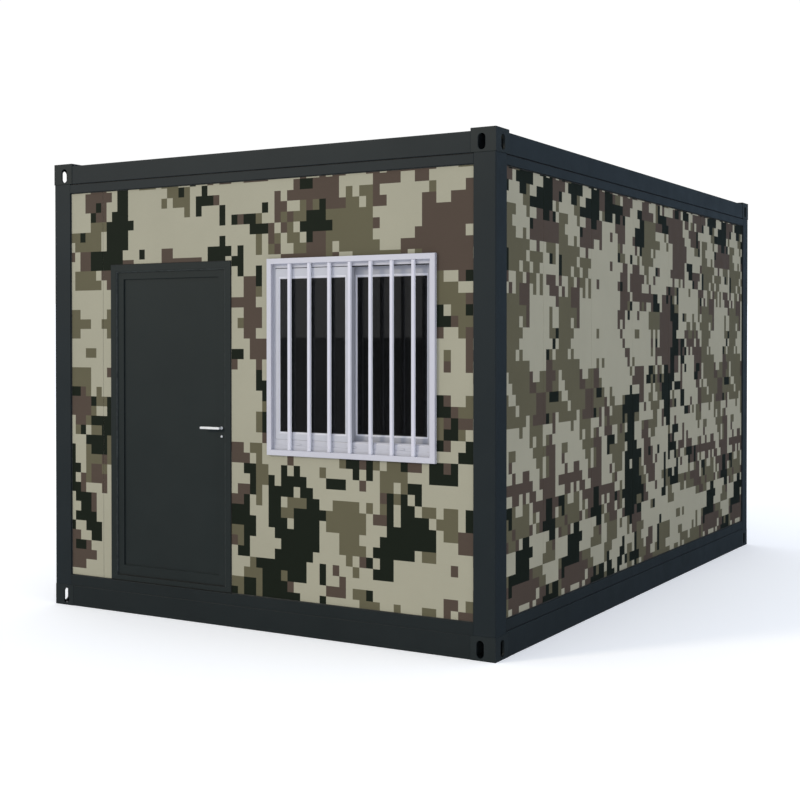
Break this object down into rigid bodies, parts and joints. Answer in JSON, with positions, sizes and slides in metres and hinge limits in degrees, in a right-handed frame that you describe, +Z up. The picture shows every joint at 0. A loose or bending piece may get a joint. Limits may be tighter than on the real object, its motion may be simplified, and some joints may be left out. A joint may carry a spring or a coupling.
{
  "type": "container cabin",
  "caption": "Flat-roofed steel-framed site cabin with slotted corner castings, camouflage wall panels, an inward-opening door with lever handles and a sliding window behind a bar guard.",
  "frame": {"origin": "centre of the footprint at ground level, under the bottom corner castings", "axes": "+Z up, +Y from the door end to the blind end along the long side, +X to the right when facing the door end from outside"},
  "size_m": [3.24, 4.859, 2.896],
  "materials": {
    "frame_paint": "satin dark grey-blue paint",
    "casting_paint": "satin dark grey-blue paint on cast steel",
    "base_paint": "satin dark grey paint",
    "seal_rubber": "black sealing strip",
    "roof_steel": "grey coated sheet",
    "galvanised_steel": "zinc coated",
    "ceiling_white": "matt white coated sheet",
    "floor_timber": "sealed boards",
    "wall_panel": "satin sheet with a blocky woodland camouflage print",
    "door_paint": "satin dark grey paint",
    "hinge_steel": "plain steel",
    "window_plastic": "white profile",
    "window_glass": "tinted glass",
    "guard_paint": "white gloss paint",
    "handle_steel": "polished steel"
  },
  "bodies": {
    "cabin": {"corner_post_front_left": "frame_paint", "corner_post_front_right": "frame_paint", "corner_post_rear_left": "frame_paint", "corner_post_rear_right": "frame_paint", "roof_beam_front": "frame_paint", "roof_beam_rear": "frame_paint", "roof_beam_left": "frame_paint", "roof_beam_right": "frame_paint", "wall_top_rails": "frame_paint", "top_corner_castings": "casting_paint", "bottom_corner_castings": "casting_paint", "frame_seals": "seal_rubber", "floor_beam_front": "base_paint", "floor_beam_rear": "base_paint", "floor_beam_left": "base_paint", "floor_beam_right": "base_paint", "end_sill_rails": "base_paint", "side_sill_rails": "base_paint", "roof_sheet": "roof_steel", "roof_purlins": "galvanised_steel", "floor_joists": "galvanised_steel", "ceiling_panel": "ceiling_white", "floor_boards": "floor_timber", "front_wall_left": "wall_panel", "front_wall_over_door": "wall_panel", "front_wall_middle": "wall_panel", "front_wall_under_window": "wall_panel", "front_wall_over_window": "wall_panel", "front_wall_right": "wall_panel", "right_wall_panels": "wall_panel", "left_wall_panels": "wall_panel", "rear_wall_panels": "wall_panel", "door_frame": "door_paint", "door_casing": "door_paint", "door_hinge_pins": "hinge_steel", "window_frame": "window_plastic", "window_sash_left": "window_plastic", "window_sash_right": "window_plastic", "window_panes": "window_glass", "window_guard_frame": "guard_paint", "window_guard_bars": "guard_paint"},
    "door": {"door_leaf": "door_paint", "door_hinge_knuckles": "hinge_steel", "door_roses": "handle_steel"},
    "lever": {"door_lever": "handle_steel"}
  },
  "joints": [
    {"name": "door_swing", "type": "hinge", "parent": "cabin", "child": "door", "pos_m": [-1.094, -2.347, 1.24], "axis": [0, 0, 1], "range_deg": [0, 100]},
    {"name": "lever_turn", "type": "hinge", "parent": "door", "child": "lever", "pos_m": [-0.2475, -2.3785, 1.206], "axis": [0, -1, 0], "range_deg": [0, 45], "stiffness_Nm_per_rad": 1.5, "springref_deg": -34.38}
  ]
}
